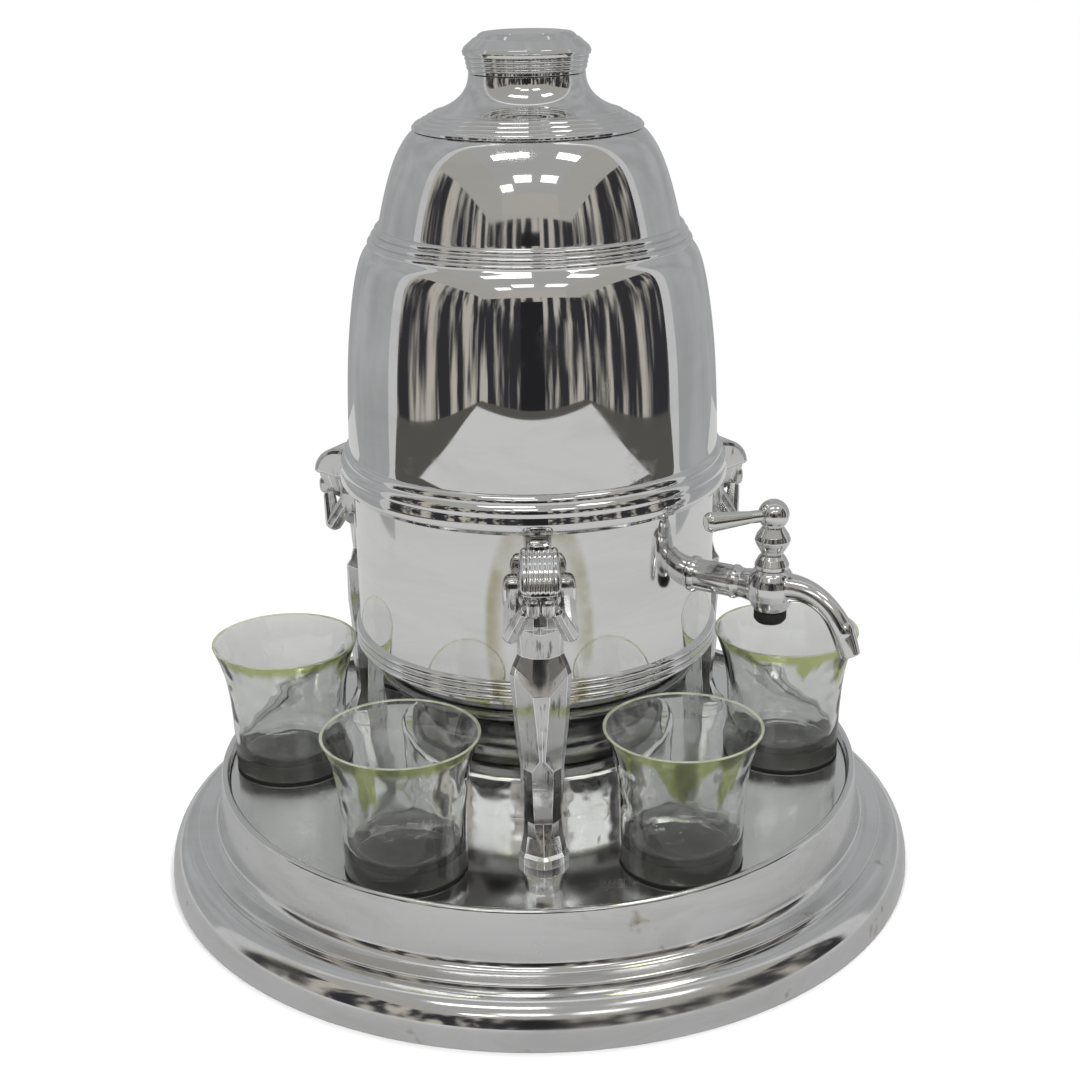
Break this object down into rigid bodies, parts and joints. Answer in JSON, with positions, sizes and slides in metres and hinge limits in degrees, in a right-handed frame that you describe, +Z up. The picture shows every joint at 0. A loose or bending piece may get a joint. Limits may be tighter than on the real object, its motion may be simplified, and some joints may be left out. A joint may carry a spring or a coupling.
{
  "type": "cordial dispenser with glasses",
  "caption": "Chromed beehive urn with lift-off lid and side tap, carried on faceted figures over a round tray of small flared glasses.",
  "frame": {"origin": "centre of the base, on the plane it stands on", "axes": "+Z up the urn's axis; the figure without a partner faces -Y; the tap stands out on the +X side, turned 32 degrees towards -Y"},
  "size_m": [0.292, 0.292, 0.3115],
  "materials": {
    "chrome": "polished, slightly tarnished",
    "steel": "plain",
    "clear_glass": "clear, polished",
    "black_rubber": "matt"
  },
  "bodies": {
    "stand": {"base_pan": "chrome", "tray_deck": "chrome", "pedestal": "chrome", "urn_foot": "chrome", "urn_drum": "chrome", "urn_shell": "chrome", "tap_collar": "chrome", "tap_body": "chrome", "tap_washer": "black_rubber", "tap_nut": "steel", "centre_stud": "steel", "stud_washer": "steel", "stud_nut": "steel", "figure_front": "chrome", "figure_right": "chrome", "figure_left": "chrome", "foot_screw_front": "steel", "foot_screw_right": "steel", "foot_screw_left": "steel", "lug_screw_front": "steel", "lug_screw_right": "steel", "lug_screw_left": "steel", "glass_pad_1": "black_rubber", "glass_pad_2": "black_rubber", "glass_pad_3": "black_rubber", "glass_pad_4": "black_rubber", "glass_pad_5": "black_rubber", "glass_pad_6": "black_rubber"},
    "lid": {"lid": "chrome", "knob": "chrome", "knob_screw": "steel"},
    "tap_key": {"tap_key": "chrome", "tap_lever": "chrome", "tap_cap": "black_rubber"},
    "glass_1": {"glass_1": "clear_glass"},
    "glass_2": {"glass_2": "clear_glass"},
    "glass_3": {"glass_3": "clear_glass"},
    "glass_4": {"glass_4": "clear_glass"},
    "glass_5": {"glass_5": "clear_glass"},
    "glass_6": {"glass_6": "clear_glass"}
  },
  "joints": [
    {"name": "lid_lift", "type": "slide", "parent": "stand", "child": "lid", "axis": [0, 0, 1], "range_m": [0, 0.12]},
    {"name": "tap_turn", "type": "hinge", "parent": "stand", "child": "tap_key", "pos_m": [0.08243, -0.05151, 0.1263], "axis": [0, 0, 1], "range_deg": [0, 90]},
    {"name": "glass_1_lift", "type": "slide", "parent": "stand", "child": "glass_1", "axis": [0, 0, 1], "range_m": [0, 0.055]},
    {"name": "glass_2_lift", "type": "slide", "parent": "stand", "child": "glass_2", "axis": [0, 0, 1], "range_m": [0, 0.055]},
    {"name": "glass_3_lift", "type": "slide", "parent": "stand", "child": "glass_3", "axis": [0, 0, 1], "range_m": [0, 0.055]},
    {"name": "glass_4_lift", "type": "slide", "parent": "stand", "child": "glass_4", "axis": [0, 0, 1], "range_m": [0, 0.055]},
    {"name": "glass_5_lift", "type": "slide", "parent": "stand", "child": "glass_5", "axis": [0, 0, 1], "range_m": [0, 0.055]},
    {"name": "glass_6_lift", "type": "slide", "parent": "stand", "child": "glass_6", "axis": [0, 0, 1], "range_m": [0, 0.055]}
  ]
}
